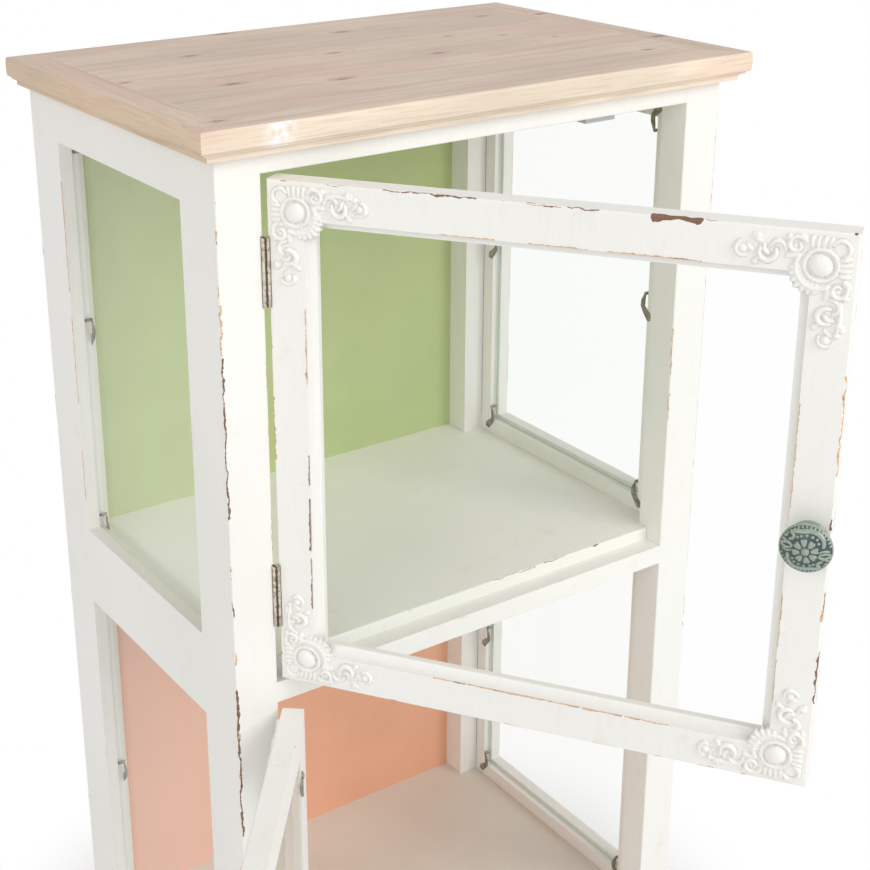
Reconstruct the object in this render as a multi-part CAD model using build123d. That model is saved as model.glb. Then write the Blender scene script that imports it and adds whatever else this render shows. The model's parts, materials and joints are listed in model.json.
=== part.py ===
from build123d import *
import math
import os

os.makedirs("parts", exist_ok=True)

# Display cabinet of two storeys with a glazed door on each, in millimetres.
# Origin: centre of the carcass footprint on the floor. +Z is up, the doors face -Y.

# Carcass sizes
body_width = 465.0
body_depth = 317.0
leg_height = 40.0
bottom_rail_height = 38.0
opening_height = 397.5
mid_rail_height = 18.0
top_rail_height = 15.4
side_thickness = 20.0
stile_width = 52.5
front_post_width = 15.5
front_post_depth = 28.0
arris_radius = 1.2
glue_gap = 0.1
fit_gap = 0.3

# Windows of the side frames
window_sill_rise = 29.0
window_head_drop = 24.0
window_lip = 11.0
window_rebate = 4.0
side_pane_thickness = 4.0
pane_clearance = 0.5

# Joints of the frames
tenon_length = 12.0
tenon_thickness = 7.0
tenon_setback = 3.0
tenon_shoulder = 8.0
rail_tenon_length = 9.0
rail_tenon_shoulder = 3.0
rail_tenon_depth = 14.0

# Shelves, back posts, back rails and back panels
shelf_thickness = 10.5
stop_clearance = 1.0
left_back_post_width = 10.0
right_back_post_width = 22.0
back_post_depth = 25.5
back_rail_depth = 20.0
back_rail_height = 20.0
back_top_rail_height = 44.5
panel_thickness = 4.0
panel_recess = 4.75

# Top board and the moulding under its edge
board_thickness = 16.0
board_overhang = 17.4
board_back_overhang = 2.0
border_width = 26.0
board_top_round = 2.0
board_bottom_round = 2.0
board_edge_bow = 0.5
board_tongue_length = 6.0
board_tongue_thickness = 6.0
moulding_height = 7.1
moulding_setback = 3.3
moulding_quirk = 0.4
moulding_bead_width = 1.6
moulding_bead_height = 1.6
moulding_fillet = 0.6
moulding_foot = 4.3
moulding_foot_height = 2.5
moulding_bead_rise = 0.5
moulding_cove_rise = 0.6

# Doors
door_side_gap = 2.6
door_top_gap = 3.4
door_bottom_gap = 4.2
door_thickness = 17.0
door_flat = 27.0
door_cove_width = 4.5
door_cove_depth = 8.0
door_cove_rise = 1.0
door_lip_width = 1.5
door_lip_fall = 0.6
door_rebate_width = 5.0
door_rebate_depth = 3.5
door_pane_thickness = 3.0
upper_door_angle = 55.0
lower_door_angle = 128.9

# Butt hinges
hinge_length = 50.0
hinge_top_inset = 41.0
hinge_bottom_inset = 46.0
hinge_proud = 1.2
knuckle_count = 6
knuckle_gap = 0.3
barrel_radius = 3.0
pin_radius = 1.45
pin_clearance = 0.05
barrel_clearance = 0.4
leaf_thickness = 1.0
leaf_width = 14.0
leaf_screw_inset = 8.0
leaf_screw_stagger = 2.5

# Glass clips
clip_span = 22.0
clip_bow = 8.0
clip_waist = 4.5
clip_end_width = 5.0
clip_tip_radius = 1.5
clip_thickness = 1.0
clip_angle = 75.0
clip_eye_inset = 3.0
clip_corner_rise = 0.5
lower_clip_rise = -14.0
upper_clip_rise = 8.0
door_clip_inset = 6.0
door_clip_end_inset = 15.0
door_clip_angle = 69.0

# Screws
small_head_radius = 2.3
small_head_depth = 1.0
small_shank_radius = 1.1
small_screw_length = 9.0
long_head_radius = 3.4
long_head_depth = 2.0
long_shank_radius = 1.7
post_screw_reach = 12.0
top_screw_reach = 11.0

# Magnetic catches
catch_width = 30.0
catch_depth = 12.7
catch_height = 8.5
catch_round = 2.0
catch_from_middle = 121.5
strike_thickness = 1.0
strike_height = 8.0
magnet_gap = 0.3
catch_screw_reach = 8.0

# Knobs
knob_radius = 17.0
knob_height = 22.0
knob_neck_radius = 6.0
knob_neck_height = 7.0
knob_petals = 8
knob_petal_radius = 6.3
knob_rim_height = 5.0
knob_dome_rise = 3.5
knob_foot_spread = 1.0
knob_foot_height = 1.5
bolt_radius = 2.0
bolt_head_radius = 4.5
bolt_head_height = 2.0
bolt_depth_in_knob = 10.0

# Corner ornaments of the doors
ornament_reach = 73.0
ornament_base = 1.2
cabochon_place = 20.5
cabochon_radius = 7.8
cabochon_height = 3.6
ring_width = 2.4
ring_height = 2.2
shell_lobes = 3
shell_step = 55.0
shell_radius = 4.0
inner_leaf_reach = 9.0
arm_middle = 13.0
arm_bow = 1.5
arm_tip_half = 2.2
scroll_width = 2.2
scroll_height = 2.8
big_scroll_radius = 5.4
scroll_gap = 3.0
bud_radius = 2.0
end_bud_radius = 3.6

# Places worked out from the sizes
front = -body_depth / 2
back = body_depth / 2
side_outer = body_width / 2
side_inner = side_outer - side_thickness
opening_half = side_inner - front_post_width
lower_sill = leg_height + bottom_rail_height
upper_sill = lower_sill + opening_height + mid_rail_height
sills = {"lower": lower_sill, "upper": upper_sill}
carcass_top = upper_sill + opening_height + top_rail_height + moulding_height
top_face = carcass_top + board_thickness
panel_front = back - panel_recess - panel_thickness
panel_seam = upper_sill + shelf_thickness / 2
shelf_front = front + door_thickness + stop_clearance
back_post_front = panel_front - back_post_depth
back_rail_front = panel_front - back_rail_depth

door_width = 2 * opening_half - 2 * door_side_gap
door_height = opening_height - door_top_gap - door_bottom_gap
door_frame_width = door_flat + door_cove_width + door_lip_width
door_back = front + door_thickness
hinge_x = -opening_half + door_side_gap / 2
hinge_y = front - hinge_proud
leaf_start = hinge_y + barrel_radius + barrel_clearance
door_angles = {"lower": lower_door_angle, "upper": upper_door_angle}
clip_rises = {"lower": lower_clip_rise, "upper": upper_clip_rise}


def block(x0, x1, y0, y1, z0, z1):
    """A square block between two opposite corners."""
    centre = Pos((x0 + x1) / 2, (y0 + y1) / 2, (z0 + z1) / 2)
    return centre * Box(x1 - x0, y1 - y0, z1 - z0)


def edges_at(solid, direction, **places):
    """Straight edges along a direction that lie at the given x, y or z places."""

    def fits(edge):
        centre = edge.center()
        return all(abs(getattr(centre, k.upper()) - v) < 0.01 for k, v in places.items())

    return solid.edges().filter_by(direction).filter_by(fits)


def bow_points(start, end, rise):
    """Three points of an arc that stands off its chord by a rise, to the left of its run."""
    along = (end[0] - start[0], end[1] - start[1])
    length = math.hypot(*along)
    middle_x = (start[0] + end[0]) / 2 - along[1] * rise / length
    middle_y = (start[1] + end[1]) / 2 + along[0] * rise / length
    return start, (middle_x, middle_y), end


def bow(start, end, rise):
    """An arc that stands off its chord by a rise, to the left of its run."""
    return ThreePointArc(*bow_points(start, end, rise))


def mirrored(shape):
    """The left-hand twin of a right-hand piece."""
    return mirror(shape, about=Plane.YZ)


def save(name, pieces):
    """Write one node, either a single solid or a group of separate solids."""
    if isinstance(pieces, list):
        shape = Compound(children=[piece.solid() for piece in pieces])
    else:
        shape = pieces.solid()
    shape.label = name
    export_step(shape, f"parts/{name}.step")


# Straight runs of a moulded section, mitred at 45 degrees.
# A section lies in (inset from the outer edge, height), with its face at height 0.


def mitred_run(section, depth, length, start=True, end=True):
    """A run along +X from 0 to length, its outer edge on y = 0, its body towards +Y."""
    bar = extrude(Plane.YZ * section, length)
    outline = [(0, 0), (length, 0)]
    outline.append((length - depth if end else length, depth))
    outline.append((depth if start else 0, depth))
    tall = 4 * depth
    cutter = Pos(0, 0, -tall) * extrude(make_face(Polyline(*outline, close=True)), 2 * tall)
    return bar & cutter


def mitred_frame(section, depth, width, height):
    """Four mitred members round a width by height rectangle: bottom, right, top, left."""
    across = mitred_run(section, depth, width)
    upright = mitred_run(section, depth, height)
    return [
        across,
        Pos(width, 0) * Rot(0, 0, 90) * upright,
        Pos(width, height) * Rot(0, 0, 180) * across,
        Pos(0, height) * Rot(0, 0, -90) * upright,
    ]


# Screws: head face on z = 0, shank towards -Z


def screw(head_radius, head_depth, shank_radius, length):
    """A countersunk screw, drawn with a six-sided head and shank."""
    lean = math.degrees(math.atan((head_radius - shank_radius) / head_depth))
    head = extrude(RegularPolygon(head_radius, 6), -head_depth, taper=lean)
    return head + extrude(RegularPolygon(shank_radius, 6), -length)


def small_screw():
    """The screw of a hinge leaf or a strike."""
    return screw(small_head_radius, small_head_depth, small_shank_radius, small_screw_length)


# Side frames


def window_pocket(sill):
    """The opening of one side window with its glazing rebate on the inside."""
    y0 = front + stile_width
    y1 = back - stile_width
    z0 = sill + window_sill_rise
    z1 = sill + opening_height - window_head_drop
    opening = block(side_inner - 1, side_outer + 1, y0, y1, z0, z1)
    rebate = block(
        side_inner - 1, side_outer - window_lip,
        y0 - window_rebate, y1 + window_rebate,
        z0 - window_rebate, z1 + window_rebate,
    )
    return opening + rebate


def side_rail_spans():
    """Bottom and top height of the three rails of a side frame."""
    lower_head = lower_sill + opening_height - window_head_drop
    upper_head = upper_sill + opening_height - window_head_drop
    return {
        "bottom": (leg_height, lower_sill + window_sill_rise),
        "mid": (lower_head, upper_sill + window_sill_rise),
        "top": (upper_head, carcass_top),
    }


def side_tenons(span, gap=0.0):
    """The two stub tenons of a side rail, or their mortises when a gap is given."""
    x1 = side_outer - tenon_setback + gap
    x0 = x1 - tenon_thickness - 2 * gap
    y1 = back - stile_width + tenon_length + gap
    z0 = span[0] + tenon_shoulder - gap
    z1 = span[1] - tenon_shoulder + gap
    return block(x0, x1, -y1, y1, z0, z1)


def side_stile(y0, y1, outer_y):
    """An upright of the right side frame, running down to the floor as a leg."""
    stile = block(side_inner, side_outer, y0, y1, 0, carcass_top)
    stile = fillet(edges_at(stile, Axis.Z, x=side_outer, y=outer_y), arris_radius)
    for sill in sills.values():
        stile -= window_pocket(sill)
    for span in side_rail_spans().values():
        stile -= side_tenons(span, glue_gap)
    return stile


def side_rail(span):
    """A rail of the right side frame, with its tenons and glazing rebates."""
    y = back - stile_width
    rail = block(side_inner, side_outer, -y, y, *span)
    rail += side_tenons(span)
    for sill in sills.values():
        rail -= window_pocket(sill)
    return rail


def side_pane(sill):
    """Glass of one side window, seated on the outer lip."""
    y = back - stile_width + window_rebate - pane_clearance
    z0 = sill + window_sill_rise - window_rebate + pane_clearance
    z1 = sill + opening_height - window_head_drop + window_rebate - pane_clearance
    x1 = side_outer - window_lip
    return block(x1 - side_pane_thickness, x1, -y, y, z0, z1)


right_side = {
    "front_stile": side_stile(front, front + stile_width, front),
    "back_stile": side_stile(back - stile_width, back, back),
}
for rail_name, rail_span in side_rail_spans().items():
    right_side[f"{rail_name}_rail"] = side_rail(rail_span)
for storey, storey_sill in sills.items():
    right_side[f"{storey}_pane"] = side_pane(storey_sill)
for piece_name, piece in right_side.items():
    save(f"right_{piece_name}", piece)
    save(f"left_{piece_name}", mirrored(piece))


# Front posts and front rails

front_rail_spans = {
    "bottom": (leg_height, lower_sill),
    "mid": (upper_sill - mid_rail_height, upper_sill),
    "top": (upper_sill + opening_height, carcass_top),
}


def front_tenons(span, gap=0.0):
    """The stub tenons at both ends of a front rail, or their mortises."""
    x = opening_half + rail_tenon_length + gap
    middle = front + front_post_depth / 2
    half = rail_tenon_depth / 2 + gap
    z0 = span[0] + rail_tenon_shoulder - gap
    z1 = span[1] - rail_tenon_shoulder + gap
    return block(-x, x, middle - half, middle + half, z0, z1)


def front_post():
    """The right batten that the doors close between, glued to the side stile."""
    post = block(opening_half, side_inner, front, front + front_post_depth, 0, carcass_top)
    post = fillet(edges_at(post, Axis.Z, x=opening_half, y=front), arris_radius)
    for span in front_rail_spans.values():
        post -= front_tenons(span, glue_gap)
    return post


def hinge_bottoms():
    """Lower end of each of the four hinges."""
    bottoms = []
    for sill in sills.values():
        door_bottom = sill + door_bottom_gap
        bottoms.append(door_bottom + hinge_bottom_inset)
        bottoms.append(door_bottom + door_height - hinge_top_inset - hinge_length)
    return bottoms


def hinge_relief():
    """Round clearance for every hinge barrel, in the closed position of the doors."""
    cuts = []
    for z0 in hinge_bottoms():
        middle = z0 + hinge_length / 2
        long = hinge_length + 2
        cuts.append(Pos(hinge_x, hinge_y, middle) * Cylinder(barrel_radius + barrel_clearance, long))
    return cuts


def front_rail(span):
    """A front rail between the posts, with a small round on its front arrises."""
    rail = block(-opening_half, opening_half, front, front + front_post_depth, *span)
    rail = fillet(edges_at(rail, Axis.X, y=front, z=span[0]), arris_radius)
    return rail + front_tenons(span)


left_post = mirrored(front_post())
for cut in hinge_relief():
    left_post -= cut
save("left_front_post", left_post)
save("right_front_post", front_post())
for rail_name, rail_span in front_rail_spans.items():
    save(f"front_{rail_name}_rail", front_rail(rail_span))


# Shelf, floor board, back posts, back rails and back panels


def back_post_x(side):
    """The span in x of the left or right back post."""
    if side == "left":
        return (-side_inner, -side_inner + left_back_post_width)
    return (side_inner - right_back_post_width, side_inner)


def board_across(z0):
    """A shelf on a rail, notched round the posts; its front edge stops the door."""
    z1 = z0 + shelf_thickness
    x = side_inner - fit_gap
    board = block(-x, x, shelf_front, panel_front, z0, z1)
    board = fillet(edges_at(board, Axis.X, y=shelf_front, z=z1), arris_radius)
    post_back = front + front_post_depth + fit_gap
    for end in (-1, 1):
        x0, x1 = sorted((end * (opening_half - fit_gap), end * (side_inner + 1)))
        board -= block(x0, x1, shelf_front - 1, post_back, z0 - 1, z1 + 1)
    for side in ("left", "right"):
        x0, x1 = back_post_x(side)
        board -= block(x0 - fit_gap, x1 + fit_gap, back_post_front - fit_gap, back, z0 - 1, z1 + 1)
    return board


def back_rail(z0, z1):
    """A rail between the back posts, just in front of the back panels."""
    x0 = back_post_x("left")[1]
    x1 = back_post_x("right")[0]
    return block(x0, x1, back_rail_front, panel_front, z0, z1)


def back_panel(z0, z1):
    """A painted panel let in between the side frames."""
    x = side_inner - fit_gap
    return block(-x, x, panel_front, panel_front + panel_thickness, z0, z1)


save("shelf_board", board_across(upper_sill))
save("floor_board", board_across(lower_sill))
for post_side in ("left", "right"):
    post_x = back_post_x(post_side)
    post = block(*post_x, back_post_front, panel_front, leg_height, carcass_top)
    save(f"{post_side}_back_post", post)
save("back_bottom_rail", back_rail(leg_height, lower_sill))
save("back_mid_rail", back_rail(upper_sill - back_rail_height, upper_sill))
save("back_top_rail", back_rail(carcass_top - back_top_rail_height, carcass_top))
save("lower_back_panel", back_panel(leg_height, panel_seam - fit_gap / 2))
save("upper_back_panel", back_panel(panel_seam + fit_gap / 2, carcass_top))


# Top board: a panel with a tongue all round, in a mitred border

board_left = -side_outer - board_overhang
board_front = front - board_overhang
board_width = body_width + 2 * board_overhang
board_depth = body_depth + board_overhang + board_back_overhang


def board_section():
    """Section of the border: a slightly bowed edge, rounded above and below."""
    t = board_thickness
    edge = board_edge_bow
    lines = [
        Polyline((edge, 0), (border_width, 0), (border_width, -t), (edge, -t)),
        bow((edge, -t), (edge, 0), edge),
    ]
    face = make_face(lines)
    face = fillet(face.vertices().sort_by_distance((edge, 0))[0], board_top_round)
    return fillet(face.vertices().sort_by_distance((edge, -t))[0], board_bottom_round)


def board_tongue(gap=0.0):
    """The tongue round the top panel, or its groove in the border."""
    inset = border_width - board_tongue_length - gap
    middle = top_face - board_thickness / 2
    half = board_tongue_thickness / 2 + gap
    return block(
        board_left + inset, board_left + board_width - inset,
        board_front + inset, board_front + board_depth - inset,
        middle - half, middle + half,
    )


def top_panel():
    """The planked middle of the top."""
    middle = block(
        board_left + border_width, board_left + board_width - border_width,
        board_front + border_width, board_front + board_depth - border_width,
        carcass_top, top_face,
    )
    return middle + board_tongue()


def top_border():
    """The four mitred border pieces of the top."""
    place = Pos(board_left, board_front, top_face)
    groove = board_tongue(glue_gap)
    frame = mitred_frame(board_section(), border_width, board_width, board_depth)
    return [place * member - groove for member in frame]


def moulding_section():
    """Section of the moulding: fillet, bead, quirk, cove and foot."""
    width = board_overhang - moulding_setback
    bead_low = -moulding_fillet - moulding_bead_height
    cove_low = -moulding_height + moulding_foot_height
    quirk = moulding_bead_width + moulding_quirk
    lines = [
        Line((width, 0), (0, 0)),
        Line((0, 0), (0, -moulding_fillet)),
        bow((0, -moulding_fillet), (moulding_bead_width, bead_low), -moulding_bead_rise),
        Line((moulding_bead_width, bead_low), (quirk, bead_low)),
        bow((quirk, bead_low), (moulding_foot, cove_low), moulding_cove_rise),
        Line((moulding_foot, cove_low), (moulding_foot, -moulding_height)),
        Line((moulding_foot, -moulding_height), (width, -moulding_height)),
        Line((width, -moulding_height), (width, 0)),
    ]
    return make_face(lines)


def top_moulding():
    """The moulding under the board: a front run and two side runs, mitred in front."""
    width = board_overhang - moulding_setback
    across = mitred_run(moulding_section(), width, body_width + 2 * width)
    right = mitred_run(moulding_section(), width, body_depth + width, end=False)
    left = mitred_run(moulding_section(), width, body_depth + width, start=False)
    x = side_outer + width
    y = front - width
    return [
        Pos(-x, y, carcass_top) * across,
        Pos(x, y, carcass_top) * Rot(0, 0, 90) * right,
        Pos(-x, back, carcass_top) * Rot(0, 0, -90) * left,
    ]


save("top_panel", top_panel())
save("top_border", top_border())
save("top_moulding", top_moulding())


# Clips with their screws: eye at the origin, tip along +X, seated on z = 0


def clip(drop, hand):
    """A crescent clip with its screw; hand 1 bows to +Y and -1 to -Y."""
    half = clip_end_width / 2
    inner_bow = clip_bow - clip_waist
    outline = [
        (-half, -half), (-half, half), (clip_span / 4, clip_bow * 0.8), (clip_span / 2, clip_bow),
        (clip_span * 3 / 4, clip_bow * 0.8), (clip_span + clip_tip_radius, 0),
        (clip_span - clip_tip_radius, 0), (clip_span / 2, inner_bow), (half, -half),
    ]
    crescent = Polyline(*[(x, hand * y) for x, y in outline], close=True)
    plate = extrude(make_face(crescent), clip_thickness)
    tip = Pos(clip_span, 0, -drop) * extrude(RegularPolygon(clip_tip_radius, 6), drop + clip_thickness)
    return plate + tip + Pos(0, 0, clip_thickness) * small_screw()


def clip_heights(low, high, corner_rise, middle_rise):
    """Middle of each clip of a window and whether its tip points up or down."""
    middle = (low + high) / 2 + middle_rise
    return ((low - corner_rise, 1), (middle, 1), (high + corner_rise, -1))


def side_clips():
    """The clips on the inner face of the right side frame."""
    turn = math.radians(clip_angle)
    drop = side_thickness - window_lip - side_pane_thickness
    pieces = []
    for storey, sill in sills.items():
        low = sill + window_sill_rise
        high = sill + opening_height - window_head_drop
        for middle, up in clip_heights(low, high, clip_corner_rise, clip_rises[storey]):
            z = middle - up * clip_span / 2
            for end in (-1, 1):
                y = end * (back - stile_width + window_rebate + clip_eye_inset)
                lean = (0, -end * math.cos(turn), up * math.sin(turn))
                plane = Plane((side_inner, y, z), x_dir=lean, z_dir=(-1, 0, 0))
                pieces.append(plane.location * clip(drop, -end * up))
    return pieces


right_clips = side_clips()
save("side_clips", right_clips + [mirrored(piece) for piece in right_clips])
small_screws = []


# Long screws and panel pins of the carcass


def carcass_screws():
    """Screws up into the top board, and through the back posts into the side frames."""
    pieces = []
    front_y = front + front_post_depth / 2
    rear_y = panel_front - back_rail_depth / 2
    front_length = carcass_top - front_rail_spans["top"][0] + top_screw_reach
    rear_length = back_top_rail_height + top_screw_reach
    for x in (-opening_half * 0.75, 0, opening_half * 0.75):
        for y, length in ((front_y, front_length), (rear_y, rear_length)):
            z = carcass_top + top_screw_reach - length
            upward = Pos(x, y, z) * Rot(180, 0, 0)
            pieces.append(upward * long_screw(length))
    y = back_post_front + long_head_radius + 3
    for z in (leg_height + 60, panel_seam - 60, panel_seam + 60, carcass_top - 60):
        x = back_post_x("left")[1]
        pieces.append(Pos(x, y, z) * Rot(0, 90, 0) * long_screw(left_back_post_width + post_screw_reach))
        x = back_post_x("right")[0]
        pieces.append(Pos(x, y, z) * Rot(0, -90, 0) * long_screw(right_back_post_width + post_screw_reach))
    return pieces


def long_screw(length):
    """A countersunk carcass screw of a given length."""
    return screw(long_head_radius, long_head_depth, long_shank_radius, length)


save("carcass_screws", carcass_screws())


# Magnetic catches: a rounded body under the rail, and a strike plate on the door


def catch_body(rail_bottom):
    """A magnetic catch screwed under a front rail, just behind the closed door."""
    x0 = catch_from_middle - catch_width / 2
    y0 = door_back + strike_thickness + magnet_gap
    body = block(x0, x0 + catch_width, y0, y0 + catch_depth, rail_bottom - catch_height, rail_bottom)
    return fillet(edges_at(body, Axis.Z, y=y0 + catch_depth), catch_round)


def catch_screws(rail_bottom):
    """The two screws of a catch, up through its body into the rail."""
    y = door_back + strike_thickness + magnet_gap + catch_depth / 2
    screws = []
    for side in (-1, 1):
        x = catch_from_middle + side * catch_width / 3
        low = rail_bottom - catch_height
        screws.append(Pos(x, y, low) * Rot(180, 0, 0) * catch_screw())
    return screws


def catch_screw():
    """A screw long enough to pass through a catch."""
    length = catch_height + catch_screw_reach
    return screw(small_head_radius, small_head_depth, small_shank_radius, length)


catch_rails = [front_rail_spans["mid"][0], front_rail_spans["top"][0]]
save("magnetic_catches", [catch_body(z) for z in catch_rails])
for rail_bottom in catch_rails:
    small_screws += catch_screws(rail_bottom)


# Butt hinges, in the closed position of the doors


def knuckle_spans(first):
    """Every second knuckle of a hinge, as spans above its lower end."""
    pitch = hinge_length / knuckle_count
    half_gap = knuckle_gap / 2
    return [(k * pitch + half_gap, (k + 1) * pitch - half_gap) for k in range(first, knuckle_count, 2)]


def leaf_screw_places():
    """Height above the hinge's end, and distance across the leaf, of its three screws."""
    middle = leaf_start + leaf_width / 2
    return [
        (leaf_screw_inset, middle + leaf_screw_stagger),
        (hinge_length / 2, middle - leaf_screw_stagger),
        (hinge_length - leaf_screw_inset, middle + leaf_screw_stagger),
    ]


def leaf_screws(x, turn, z0):
    """The three screws of a leaf, their heads flush with its face at x."""
    return [Pos(x, y, z0 + up) * Rot(0, turn, 0) * small_screw() for up, y in leaf_screw_places()]


def hinge_leaf(x0, x1, first, z0, bore):
    """A leaf with its knuckles, each rolled from a tongue of the plate."""
    middle_x = (x0 + x1) / 2
    plate_middle = leaf_start + leaf_width / 2
    plate = Pos(middle_x, plate_middle) * Rectangle(leaf_thickness, leaf_width)
    tongue_start = hinge_y + barrel_radius - leaf_thickness
    tongue_length = leaf_start + leaf_thickness - tongue_start
    tongue = Pos(middle_x, tongue_start + tongue_length / 2) * Rectangle(leaf_thickness, tongue_length)
    knuckle = Pos(hinge_x, hinge_y) * Circle(barrel_radius) + tongue
    if bore:
        knuckle -= Pos(hinge_x, hinge_y) * Circle(pin_radius + pin_clearance)
    leaf = Pos(0, 0, z0) * extrude(plate, hinge_length)
    for low, high in knuckle_spans(first):
        leaf += Pos(0, 0, z0 + low) * extrude(knuckle, high - low)
    if not bore:
        leaf += Pos(hinge_x, hinge_y, z0) * extrude(Circle(pin_radius), hinge_length)
    return leaf


post_leaf_x = (-opening_half, -opening_half + leaf_thickness)
door_edge_x = -opening_half + door_side_gap
door_leaf_x = (door_edge_x - leaf_thickness, door_edge_x)


def hinge_pieces(z0):
    """Post leaf with its pin, door leaf, and the screws of both, for one hinge."""
    post_screws = leaf_screws(post_leaf_x[1], 90, z0)
    door_screws = leaf_screws(door_leaf_x[0], -90, z0)
    post_leaf = hinge_leaf(*post_leaf_x, 0, z0, bore=False)
    door_leaf = hinge_leaf(*door_leaf_x, 1, z0, bore=True)
    return post_leaf, door_leaf, post_screws, door_screws


# Doors: face up in their own frame, with the hinge edge on x = 0 and the foot on y = 0


def door_section():
    """Section of the door frame: flat, cove, lip and glazing rebate."""
    cove_end = door_flat + door_cove_width
    lip_top = -door_cove_depth - door_lip_fall
    rebate_floor = -door_thickness + door_rebate_depth
    rebate_edge = door_frame_width - door_rebate_width
    lines = [
        Line((0, 0), (door_flat, 0)),
        bow((door_flat, 0), (cove_end, -door_cove_depth), -door_cove_rise),
        Line((cove_end, -door_cove_depth), (door_frame_width, lip_top)),
        Line((door_frame_width, lip_top), (door_frame_width, rebate_floor)),
        Line((door_frame_width, rebate_floor), (rebate_edge, rebate_floor)),
        Line((rebate_edge, rebate_floor), (rebate_edge, -door_thickness)),
        Line((rebate_edge, -door_thickness), (0, -door_thickness)),
        Line((0, -door_thickness), (0, 0)),
    ]
    face = make_face(lines)
    return fillet(face.vertices().sort_by_distance((0, 0))[0], arris_radius)


def door_pane():
    """The glass of a door, in its back rebate."""
    inset = door_frame_width - door_rebate_width + pane_clearance
    z1 = -door_thickness + door_rebate_depth
    z0 = z1 - door_pane_thickness
    return block(inset, door_width - inset, inset, door_height - inset, z0, z1)


def door_clips():
    """Three clips on each stile, on the back of the door."""
    inset = door_frame_width - door_rebate_width - door_clip_inset
    low = door_frame_width
    high = door_height - door_frame_width
    drop = door_rebate_depth - door_pane_thickness
    pieces = []
    for middle, up in clip_heights(low, high, -door_clip_end_inset, 0):
        y = middle - up * clip_span / 2
        for side, x in ((1, inset), (-1, door_width - inset)):
            back_face = Pos(x, y, -door_thickness) * Rot(180, 0, 0)
            lean = -up * door_clip_angle if side == 1 else 180 + up * door_clip_angle
            pieces.append(back_face * Rot(0, 0, lean) * clip(drop, side * up))
    return pieces


def knob():
    """A flower knob: eight petals round a domed centre, on a short neck."""
    ring = knob_radius - knob_petal_radius
    outline = Circle(ring)
    for k in range(knob_petals):
        outline += Rot(0, 0, k * 360 / knob_petals) * Pos(ring, 0) * Circle(knob_petal_radius)
    head = Pos(0, 0, knob_neck_height) * extrude(outline, knob_height - knob_neck_height)
    rim = knob_neck_height + knob_rim_height
    foot = knob_neck_radius + knob_foot_spread
    profile = make_face([
        Line((0, 0), (foot, 0)),
        Line((foot, 0), (knob_neck_radius, knob_foot_height)),
        Line((knob_neck_radius, knob_foot_height), (knob_neck_radius, knob_neck_height)),
        Line((knob_neck_radius, knob_neck_height), (knob_radius, rim)),
        bow((knob_radius, rim), (0, knob_height), -knob_dome_rise),
        Line((0, knob_height), (0, 0)),
    ])
    dome = revolve(Plane.XZ * profile, Axis.Z)
    neck = extrude(Circle(foot), knob_neck_height)
    return (dome & (head + neck)) - knob_bolt(fit_gap)


def knob_bolt(gap=0.0):
    """The bolt through the door into the knob, or its hole when a gap is given."""
    length = door_thickness + bolt_depth_in_knob + gap
    shank = Pos(0, 0, -door_thickness) * extrude(Circle(bolt_radius + gap), length)
    head = Pos(0, 0, -door_thickness - bolt_head_height) * extrude(Circle(bolt_head_radius), bolt_head_height)
    return shank if gap else shank + head


knob_place = Pos(door_width - door_flat / 2, door_height / 2)


# Corner ornaments: corner of the door at the origin, arms along +X and +Y, back on z = 0


def along_arm(x, y):
    """A point of the +X arm."""
    return (x, y)


def along_twin(x, y):
    """The same point on the +Y arm, across the corner's diagonal."""
    return (y, x)


def scroll(arm, x, y, radius, start, sweep):
    """Flat outline of a C-scroll: part of a ring, with a bud curled inside its far end."""
    turns = [math.radians(start + part * sweep) for part in (0, 0.5, 1)]

    def points(distance):
        return [arm(x + distance * math.cos(t), y + distance * math.sin(t)) for t in turns]

    outer = points(radius + scroll_width / 2)
    inner = points(radius - scroll_width / 2)
    ring = make_face([
        ThreePointArc(*outer),
        Line(outer[2], inner[2]),
        ThreePointArc(*reversed(inner)),
        Line(inner[0], outer[0]),
    ])
    return ring + Pos(*points(radius - bud_radius)[2]) * RegularPolygon(bud_radius, 8)


def ornament_ground(arm):
    """Flat leaf-shaped ground along one arm."""
    start = cabochon_place
    end = ornament_reach - end_bud_radius
    low = arm_middle - arm_tip_half
    high = arm_middle + arm_tip_half
    near_low = start - cabochon_radius
    near_high = start + cabochon_radius
    lower = [arm(*point) for point in bow_points((start, near_low), (end, low), -arm_bow)]
    upper = [arm(*point) for point in bow_points((end, high), (start, near_high), -arm_bow)]
    return make_face([
        ThreePointArc(*lower),
        Line(lower[2], upper[0]),
        ThreePointArc(*upper),
        Line(upper[2], lower[0]),
    ])


def ornament_curls(arm):
    """The C-scroll and the end bud of one arm."""
    end = ornament_reach - end_bud_radius
    big_x = end - end_bud_radius - scroll_gap - big_scroll_radius
    curls = scroll(arm, big_x, arm_middle, big_scroll_radius, 150, 210)
    return curls + Pos(*arm(end, arm_middle)) * RegularPolygon(end_bud_radius, 8)


def shell_fan():
    """The ring round the boss, with shell lobes outside it and a leaf over the inner corner."""
    ring = cabochon_radius + ring_width
    fan = Circle(ring)
    for k in range(shell_lobes):
        angle = 225 + (k - (shell_lobes - 1) / 2) * shell_step
        fan += Rot(0, 0, angle) * Pos(ring, 0) * RegularPolygon(shell_radius, 8)
    leaf = Pos(cabochon_radius + inner_leaf_reach / 2, 0) * Rectangle(inner_leaf_reach, 2 * shell_radius)
    return Pos(cabochon_place, cabochon_place) * (fan + Rot(0, 0, 45) * leaf)


def cabochon():
    """The domed boss inside the ring, the cap of a ball."""
    ball_radius = (cabochon_radius ** 2 + cabochon_height ** 2) / (2 * cabochon_height)
    ball = Pos(0, 0, cabochon_height - ball_radius) * Sphere(ball_radius)
    dome = split(ball, Plane.XY)
    return Pos(cabochon_place, cabochon_place, ring_height / 2) * dome


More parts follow.
